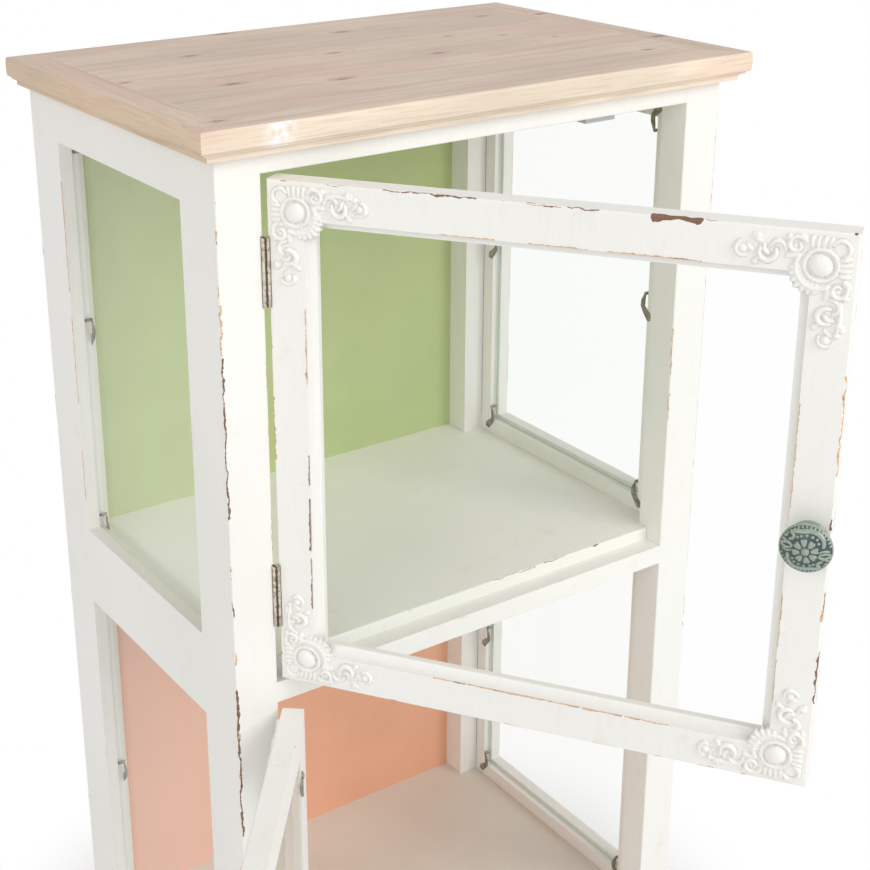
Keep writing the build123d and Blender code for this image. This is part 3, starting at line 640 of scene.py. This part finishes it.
def painted_over(material):
    """Paint over the screw heads of the back posts and over the joints of the front rails."""
    faces = Faces()
    turn = np.linspace(0, 2 * math.pi, 24, endpoint=False)
    corners = np.array([vertex.co for vertex in nodes["carcass_screws"].data.vertices]) / MM
    for post, face, out in (("left_back_post", 1, 1), ("right_back_post", 0, -1)):
        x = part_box(post)[face].x / MM
        near = corners[np.abs(corners[:, 0] - x) < 0.8]
        near = near[np.argsort(near[:, 2])]
        # The heads lie more than 20 mm apart
        gaps = np.nonzero(np.diff(near[:, 2]) > 20)[0] + 1
        for head in np.split(near, gaps):
            _, y, z = (head.min(axis=0) + head.max(axis=0)) / 2
            rings = []
            for radius, rise in ((5.2, 0.02), (4.4, 0.2), (2.0, 0.28), (0.05, 0.3)):
                depth = np.full(len(turn), x + out * rise)
                rings.append(np.stack([depth, y + radius * np.cos(turn), z + radius * np.sin(turn)], axis=1))
            faces.grid(np.array(rings), np.zeros((len(rings), len(turn))), closed=True)
    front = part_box("left_front_post")[0].y / MM - 0.06
    for rail in ("front_top_rail", "front_mid_rail", "front_bottom_rail"):
        bottom, top = (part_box(rail)[k].z / MM for k in (0, 1))
        for post, face in (("left_front_post", 1), ("right_front_post", 0)):
            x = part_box(post)[face].x / MM
            film = [[(x - 1.5, front, z), (x + 1.5, front, z)] for z in (bottom + 1, top)]
            faces.grid(np.array(film), np.zeros((2, 2)))
    faces.piece("paint_over_joints", Matrix(), material, "carcass", "wear")


def door_rubs(door, material):
    """Worn arrises of a door, in its own frame."""
    faces = Faces()
    place, width, height = door_place(door)
    side = 380
    if door == "upper_door":
        top = [
            (83, 150, 0.9, 0.9), (166, 169, 1.0, 0.9), (182, 190, 0.9, 1.0), (193, 202, 0.9, 0.9),
            (208, 231, 0.8, 0.8), (262, 296, 5.5, 0.75), (384, 388, 3.0, 1.0), (10, 16, 0.8, 0.4),
        ]
        left = [(266, 289, 1.6, 0.15), (181, 232, 1.4, 0.2), (20, 24, 1.6, 0.8), (330, 338, 0.8, 0.5)]
        right = [(231, 300, 1.0, 0.25), (193, 203, 1.2, 0.9), (127, 151, 1.3, 0.5), (65, 107, 1.2, 0.85)]
    else:
        top, left, right = (stray(side, 10, 0.9, 0.9) for _ in range(3))
    rub(faces, (0, height, 0), X, -Y, -Z, top + stray(side, 4, 0.4, 0.9))
    rub(faces, (0, 0, 0), Y, X, -Z, left + stray(side, 4, 0.5, 0.6))
    rub(faces, (width, 0, 0), Y, -X, -Z, right + stray(side, 4, 0.5, 0.6))
    rub(faces, (0, 0, 0), X, Y, -Z, stray(side, 12, 0.6, 0.9))
    inner_top = [(123, 163, 0.9, 0.3), (184, 225, 0.8, 0.3), (235, 297, 1.0, 0.35)]
    inner_bottom = [(121, 232, 0.9, 0.4), (232, 262, 1.2, 0.3), (262, 295, 0.7, 0.4)]
    inner_left = [
        (241, 301, 0.7, 0.4), (246, 254, 2.0, 0.3), (165, 190, 1.3, 0.7), (112, 156, 1.8, 0.8),
        (64, 108, 1.0, 0.6),
    ]
    inner_right = [(205, 279, 0.9, 0.15), (102, 145, 0.9, 0.3), (60, 95, 0.6, 0.4)]
    for start, along, first, spans in (
        ((0, height - DOOR_FLAT, 0), X, Y, inner_top), ((0, DOOR_FLAT, 0), X, -Y, inner_bottom),
        ((DOOR_FLAT, 0, 0), Y, -X, inner_left), ((width - DOOR_FLAT, 0, 0), Y, X, inner_right),
    ):
        rub(faces, start, along, first, -Z, spans, radius=0.3, lift=0.1)
    for start, along, first in (
        ((0, height, -DOOR_THICK), X, -Y), ((0, 0, -DOOR_THICK), X, Y),
        ((0, 0, -DOOR_THICK), Y, X), ((width, 0, -DOOR_THICK), Y, -X),
    ):
        rub(faces, start, along, first, Z, stray(side, 9, 0.7, 0.8), radius=0.1)
    faces.piece(f"{door}_rubs", place, material, door, "age")


# Carved corner ornaments

def carve(field, cell, spine, cap=False):
    """Raises a field along a spine of points (x, y, half width, height) in millimetres.

    The section is round, or flat on top for a cap.
    """
    for x, y, half, height in spine:
        i0, i1 = max(int((y - half) / cell), 0), int((y + half) / cell) + 2
        j0, j1 = max(int((x - half) / cell), 0), int((x + half) / cell) + 2
        window = field[i0:i1, j0:j1]
        rows, columns = np.mgrid[i0:i0 + window.shape[0], j0:j0 + window.shape[1]] * cell
        gap = np.clip(((columns - x) ** 2 + (rows - y) ** 2) / half ** 2, 0, 1)
        rise = height * (1 - gap ** 3 if cap else np.sqrt(1 - gap))
        np.maximum(window, np.where(gap < 1, rise, 0), out=window)


def curl(x, y, radius, start, sweep, half, height):
    """A scroll: winds in to a third of its radius, and thins towards both ends."""
    t = np.linspace(0, 1, int(abs(sweep) / 3) + 8)
    turn = np.radians(start + sweep * t)
    reach = radius * (1 - 0.65 * t ** 1.4)
    swell = 0.55 + 0.45 * np.sin(np.pi * np.clip(t * 1.1, 0, 1))
    return [
        (x + r * math.cos(a), y + r * math.sin(a), half * k, height * (0.8 + 0.2 * k))
        for r, a, k in zip(reach, turn, swell)
    ]


def stroke(points, half, height, taper):
    """A smooth stroke through points, with ends a share as wide as its middle."""
    points = np.array(points, float)
    knots = np.linspace(0, 1, len(points))
    t = np.linspace(0, 1, 60)
    reach = 6
    window = np.ones(2 * reach + 1) / (2 * reach + 1)
    curve = []
    for k in (0, 1):
        padded = np.pad(np.interp(t, knots, points[:, k]), reach, mode="edge")
        curve.append(np.convolve(padded, window, mode="valid"))
    line = []
    for x, y, share in zip(*curve, t):
        swell = taper + (1 - taper) * math.sin(math.pi * share)
        line.append((x, y, half * swell, height * (0.75 + 0.25 * swell)))
    return line


def arm_spines(long_stem):
    """Scrolls, buds and leaves of one arm, along +X from the corner."""
    scrolls = [curl(36.4, 10.0, 5.2, 250, 330, 1.5, 2.9)]
    buds = [
        (37.2, 10.4, 1.5, 2.3), (41.2, 5.4, 1.7, 2.3), (59.8, 6.6, 2.0, 2.5), (60.9, 22.8, 1.8, 2.2),
        (68.6, 15.2, 2.5, 3.1),
    ]
    leaves = [
        ([(42.5, 14.5), (43.6, 10.5), (47.0, 8.2), (50.5, 9.4), (52.0, 12.6)], 1.35, 2.6, 0.6),
        ([(48.6, 13.2), (48.2, 17.4), (51.5, 21.6), (56.2, 21.4), (58.8, 17.2), (57.8, 12.6)],
         1.75, 3.1, 0.5),
        ([(53.2, 17.0), (55.6, 15.0), (55.8, 11.6)], 1.35, 2.7, 0.8),
        ([(57.5, 9.6), (60.5, 8.6), (62.6, 5.4)], 1.2, 2.0, 0.7),
        ([(58.6, 19.6), (60.4, 21.6)], 1.1, 2.0, 0.8),
        ([(66.0, 19.4), (70.2, 19.8), (73.2, 16.2), (72.2, 12.0), (69.4, 10.2)], 1.3, 2.7, 0.5),
        ([(62.4, 16.4), (64.6, 14.2), (66.0, 12.0)], 1.2, 2.0, 0.7),
        ([(34.5, 17.0), (38.6, 16.2), (42.6, 17.6)], 1.8, 2.1, 0.6),
        ([(30.4, 7.6), (32.6, 5.0), (34.8, 4.4)], 1.5, 2.4, 0.7),
    ]
    if long_stem:
        scrolls.append(curl(39.0, 26.0, 2.6, 60, 300, 1.1, 2.3))
        buds.append((65.2, 9.0, 1.7, 2.6))
        leaves.append(([(43.6, 8.2), (50, 7.6), (57, 8.0), (64.2, 9.0)], 1.1, 2.6, 0.7))
        leaves.append(([(36.0, 20.5), (38.5, 23.0)], 1.6, 1.9, 0.7))
    return scrolls + [[bud] for bud in buds] + [stroke(*leaf) for leaf in leaves]


def around(x, y, radius, low, high, half, height):
    """Part of a ring, between two angles in degrees."""
    turns = np.radians(np.linspace(low, high, 60))
    return [(x + radius * math.cos(a), y + radius * math.sin(a), half, height) for a in turns]


def rays(angles, start, tips, half, height):
    """Short leaves that point away from the boss, from a start radius to the radius of each tip."""
    spines = []
    for angle, tip in zip(angles, tips):
        c, s = math.cos(math.radians(angle)), math.sin(math.radians(angle))
        ends = [(BOSS + radius * c, BOSS + radius * s) for radius in (start, tip)]
        spines.append(stroke(ends, half, height, 0.8))
    return spines


def ornament_field():
    """Height of one carved corner over the door's face, with the corner at the origin."""
    count = int(80.0 / CARVING_CELL)
    field = np.zeros((count, count))
    spines = []
    for long_stem in (False, True):
        for spine in arm_spines(long_stem):
            spine = [(x, y, 1.2 * half, 0.92 * height) for x, y, half, height in spine]
            if long_stem:
                spine = [(y, x, half, height) for x, y, half, height in spine]
            spines.append(spine)
    spines.append(around(BOSS, BOSS, 10.0, 0, 360, 1.5, 2.2))
    spines.append(around(BOSS + 1.5, BOSS + 1.5, 13.4, -28, 118, 1.7, 2.4))
    spines.append(around(10.6, 10.6, 5.4, 120, 330, 1.3, 2.7))
    spines += rays(range(9, 82, 12), 13.0, (17.6, 18.6, 19.6, 20.4, 19.6, 18.6, 17.6), 2.0, 1.9)
    for k in range(4):
        tooth = [(17.5 + 3.3 * k, 10.2), (17.0 + 3.6 * k, 6.6), (16.2 + 3.8 * k, 4.6 - 0.5 * (k % 2))]
        for line in (tooth, [(y, x) for x, y in tooth]):
            spines.append(stroke(line, 1.45, 2.2, 0.7))
    for spine in spines:
        carve(field, CARVING_CELL, spine)
    carve(field, CARVING_CELL, [(10.8, 10.8, 4.6, 1.2)], cap=True)
    rows, columns = np.mgrid[0:count, 0:count] * CARVING_CELL
    across = ((columns - BOSS) + (rows - BOSS)) / math.sqrt(2) / 6.9
    along = ((columns - BOSS) - (rows - BOSS)) / math.sqrt(2) / 7.7
    dome = 4.4 * np.sqrt(np.clip(1 - across ** 2 - along ** 2, 0, 1))
    return np.maximum(field, dome)


def spread(field, reach):
    """The field's highest value within a reach in cells, for its outline and hollows."""
    wide = field.copy()
    for _ in range(reach):
        padded = np.pad(wide, 1)
        wide = np.maximum.reduce([padded[1:-1, 1:-1], padded[2:, 1:-1], padded[:-2, 1:-1],
                                  padded[1:-1, 2:], padded[1:-1, :-2]])
    return wide


def ornament_grid():
    """Points, faces and hollow values of one carved corner.

    Its skirt ends just under the frame's flat, and deeper where it hangs over the moulding.
    """
    field = ornament_field()
    outline = spread(field, 1) > 0.3
    height = np.maximum(field, np.where(outline, 0.4, -3.2))
    hollow = np.clip((spread(height, 4) - height) / 3.0, 0, 1)
    keep = spread(outline.astype(float), 1) > 0
    number = -np.ones(field.shape, int)
    number[keep] = np.arange(keep.sum())
    rows, columns = np.nonzero(keep)
    x, y = columns * CARVING_CELL, rows * CARVING_CELL
    skirt = np.where((x > DOOR_FLAT) & (y > DOOR_FLAT), -3.0, -0.05)
    z = np.where(outline[keep], height[keep], skirt)
    squares = np.stack([number[:-1, :-1], number[:-1, 1:], number[1:, 1:], number[1:, :-1]], axis=2)
    faces = squares[(squares >= 0).all(axis=2)]
    return np.stack([x, y, z], axis=1), faces, hollow[keep]


def door_ornaments(door, grid, material):
    """The four carved corners of a door, one casting turned to each corner."""
    place, width, height = door_place(door)
    points, quads, hollow = grid
    faces = Faces()
    for x, y, c, s in ((0, 0, 1, 0), (width, 0, 0, 1), (width, height, -1, 0), (0, height, 0, -1)):
        turned = points.copy()
        turned[:, 0] = x + c * points[:, 0] - s * points[:, 1]
        turned[:, 1] = y + s * points[:, 0] + c * points[:, 1]
        faces.add(turned, quads, hollow)
    piece = faces.piece(f"{door}_carving", place, material, door, "hollow")
    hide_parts(f"{door}_ornaments")


# Half-moon clips that hold the glass of the doors

def half_moon(faces, place):
    """A domed half-moon clip and its screw: chord along Y through the origin, belly to +X."""
    length, belly, thick = 22.0, 7.6, 1.3
    turn = np.linspace(-math.pi / 2, math.pi / 2, 25)
    outer = np.stack([belly * np.cos(turn) ** 0.9, length / 2 * np.sin(turn)], axis=1)
    chord = np.stack([-1.4 * np.cos(turn), length / 2 * np.sin(turn)], axis=1)
    section = (
        (0, 0.0, 0.6), (0.02, 0.75, 0.4), (0.25, 1.0, 0.0), (0.5, 0.85, 0.3), (0.75, 1.0, 0.0),
        (0.98, 0.75, 0.4), (1, 0.0, 0.6),
    )
    rows, values = [], []
    for share, rise, shade in section:
        flat = chord + (outer - chord) * share
        points = np.column_stack([flat, np.full(len(turn), rise * thick)])
        rows.append([place @ Vector(point) for point in points])
        values.append(np.full(len(turn), shade))
    faces.grid(np.array(rows), np.array(values))
    ring = np.linspace(0, 2 * math.pi, 20, endpoint=False)
    head = []
    for r, z in ((2.1, 0.6 * thick), (2.1, thick + 0.5), (1.7, thick + 0.85), (0.05, thick + 0.95)):
        x = 0.22 * belly + r * np.cos(ring)
        y = 3.4 - length / 2 + r * np.sin(ring)
        head.append([place @ Vector((a, b, z)) for a, b in zip(x, y)])
    faces.grid(np.array(head), np.full((len(head), len(ring)), 0.15), closed=True)


def door_clips(door, material):
    """The clips on the back of a door: three on each stile, with their bellies over the glass."""
    faces = Faces()
    place, width, height = door_place(door)
    from_side, from_end = 21.4, 52.0
    for y in (from_end, height / 2, height - from_end):
        for x, axis in ((from_side, "X"), (width - from_side, "Y")):
            seat = Matrix.Translation((x, y, -DOOR_THICK)) @ Matrix.Rotation(math.pi, 4, axis)
            half_moon(faces, seat)
    piece = faces.piece(f"{door}_clips_half_moon", place, material, door, "wear")
    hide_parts(f"{door}_clips")


# Ceramic knobs

def knob_relief():
    """Height of the knob's relief over its dome: a flower between two ribbons, with beads."""
    count = int(2 * KNOB_FIELD / KNOB_CELL)
    field = np.zeros((count, count))
    ribbon = [(-10.4, 6.6), (-8.4, 7.2), (-7.6, 9.4), (-9.6, 10.6), (-7.8, 12.4), (-4.4, 12.0), (-0.6, 13.4),
              (4.6, 13.4), (9.0, 11.0), (11.4, 6.8), (10.4, 3.6)]
    spines = [
        stroke(ribbon[3:], 1.45, 1.0, 0.75),
        stroke(ribbon[:4], 1.0, 0.9, 0.8),
        stroke([(-15.8, 2.4), (-11.6, 4.6), (-8.2, 2.6)], 1.1, 0.9, 0.6),
        stroke([(-15.6, 1.4), (-12.0, 0.6), (-8.6, 1.8)], 0.9, 0.8, 0.6),
        stroke([(-14.6, -0.8), (-11.4, -1.4), (-8.6, -0.2)], 0.8, 0.8, 0.6),
    ]
    beads = ((-3.4, 9.8), (-5.6, 8.8), (6.4, 8.8), (7.6, 6.2), (3.6, 9.9), (0.2, 10.6), (-12.6, 8.2),
             (-13.4, 5.4))
    spines += [[(x, y, 0.95, 0.9)] for x, y in beads]
    for turn in np.radians(np.arange(16, 172, 9.5)):
        spines.append([(15.4 * math.cos(turn), 15.4 * math.sin(turn), 0.75, 0.7)])
    spines += [[(-x, -y, half, height) for x, y, half, height in spine] for spine in spines]
    for k in range(8):
        c, s = math.cos(k * math.pi / 4 + 0.2), math.sin(k * math.pi / 4 + 0.2)
        for side in (-0.75, 0.75):
            root, tip = (4.1 * c, 4.1 * s), (7.2 * c - side * 1.3 * s, 7.2 * s + side * 1.3 * c)
            spines.append(stroke([root, tip], 1.35, 1.1, 0.8))
    spines.append([(0, 0, 2.7, 1.9)])
    for spine in spines:
        moved = [(x + KNOB_FIELD, y + KNOB_FIELD, half, height) for x, y, half, height in spine]
        carve(field, KNOB_CELL, moved)
    return field


def knob_surface():
    """Points and hollow values of the knob, from its middle out over its rim and back to its rose."""
    field = knob_relief()
    turn = np.linspace(0, 2 * math.pi, 160, endpoint=False)
    crown, fall, rim = 21.0, 5.2, 17.0
    rows, hollows = [], []
    for r in np.linspace(0.05, 16.6, 74):
        x, y = r * np.cos(turn), r * np.sin(turn)
        down, along = (((v + KNOB_FIELD) / KNOB_CELL).astype(int) for v in (y, x))
        relief = field[down, along]
        level = crown - fall * (r / rim) ** 2.2
        rows.append(np.stack([x, y, level + relief], axis=1))
        hollows.append(np.where(relief > 0.25, 0.0, 1.0) if r < 16.2 else np.full_like(turn, 0.3))
    back = ((rim, 15.0), (16.8, 13.6), (14.8, 12.0), (11.5, 10.4), (8.0, 8.6), (6.3, 6.5), (6.0, 3.0),
            (7.0, 1.6), (12.0, 1.0), (12.2, 0.0))
    for r, level in back:
        rows.append(np.stack([r * np.cos(turn), r * np.sin(turn), np.full_like(turn, level)], axis=1))
        hollows.append(np.full_like(turn, 0.35))
    return np.array(rows), np.array(hollows)


def door_knob(door, surface, material):
    """The flower-shaped knob, a little below the middle of the lock stile."""
    place, width, height = door_place(door)
    faces = Faces()
    faces.grid(*surface, closed=True)
    middle = Vector((width - DOOR_FLAT / 2, height / 2 - KNOB_DROP, 0)) * MM
    place = place @ Matrix.Translation(middle)
    piece = faces.piece(f"{door}_flower_knob", place, material, door, "hollow")
    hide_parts(f"{door}_knob")


# Stage

def plainly_seen(graph):
    """1 for camera, mirror and glass rays, and 0 for the rest."""
    light = graph.add("ShaderNodeLightPath")
    seen = graph.math("MAXIMUM", light.outputs["Is Camera Ray"], light.outputs["Is Glossy Ray"])
    return graph.math("MAXIMUM", seen, light.outputs["Is Transmission Ray"])


def build_floor():
    """A wide pale floor: it shows the cabinet's shadow and is white further out."""
    half = 30.0
    mesh = bpy.data.meshes.new("floor")
    corners = [(-half, -half, 0), (half, -half, 0), (half, half, 0), (-half, half, 0)]
    mesh.from_pydata(corners, [], [(0, 1, 2, 3)])
    floor = bpy.data.objects.new("floor", mesh)
    bpy.context.scene.collection.objects.link(floor)
    graph = Graph("pale_floor")
    distance = graph.vector("LENGTH", graph.place).outputs["Value"]
    far = graph.step(distance, 0.2, 0.45)
    pale = graph.add("ShaderNodeBsdfDiffuse", Color=(0.9, 0.9, 0.9))
    white = graph.add("ShaderNodeEmission", Strength=1.0)
    share = graph.times(plainly_seen(graph), far)
    mesh.materials.append(graph.output(graph.mix_shaders(share, pale.outputs[0], white.outputs[0])))


def build_world():
    """A soft even sky, brighter to sight than as a light."""
    graph = Graph("studio", bpy.data.worlds)
    bpy.context.scene.world = graph.owner
    strength = graph.step(plainly_seen(graph), 0, 1, 0.76, 1.0)
    background = graph.add("ShaderNodeBackground", Strength=strength)
    graph.add("ShaderNodeOutputWorld", Surface=background.outputs[0])


def add_lamp(name, place, size, watts):
    """A square soft box that faces the middle of the cabinet."""
    lamp = bpy.data.lights.new(name, "AREA")
    lamp.size = size
    lamp.energy = watts
    holder = bpy.data.objects.new(name, lamp)
    holder.location = place
    aim = Vector((0, 0, 0.6)) - Vector(place)
    holder.rotation_euler = aim.to_track_quat("-Z", "Y").to_euler()
    bpy.context.scene.collection.objects.link(holder)


def build_camera():
    """The photograph's camera."""
    data = bpy.data.cameras.new("camera")
    data.lens = CAMERA_LENS
    data.shift_x, data.shift_y = CAMERA_SHIFT
    camera = bpy.data.objects.new("camera", data)
    bpy.context.scene.collection.objects.link(camera)
    bpy.context.scene.camera = camera
    flat = math.cos(CAMERA_PITCH)
    ahead = Vector((math.sin(CAMERA_YAW) * flat, math.cos(CAMERA_YAW) * flat, -math.sin(CAMERA_PITCH)))
    level = Vector((math.cos(CAMERA_YAW), -math.sin(CAMERA_YAW), 0))
    down = ahead.cross(level)
    right = math.cos(CAMERA_ROLL) * level + math.sin(CAMERA_ROLL) * down
    up = math.sin(CAMERA_ROLL) * level - math.cos(CAMERA_ROLL) * down
    turn = Matrix((right, up, -ahead)).transposed()
    camera.matrix_world = Matrix.Translation(CAMERA_PLACE) @ turn.to_4x4()


finishes = dress_nodes()
worn = bare_wood("bare_wood")
carcass_rubs(worn)
painted_over(finishes["white_paint"])
grid = ornament_grid()
surface = knob_surface()
for door in DOORS:
    door_rubs(door, worn)
    door_ornaments(door, grid, finishes["carved_white"])
    door_knob(door, surface, finishes["green_ceramic"])
    door_clips(door, finishes["dark_steel"])
build_floor()
build_world()
add_lamp("key", (0.9, -3.0, 2.3), 2.2, 53)
add_lamp("fill", (-2.8, -1.4, 2.0), 2.0, 23)
build_camera()
bpy.context.scene.view_settings.view_transform = "Standard"
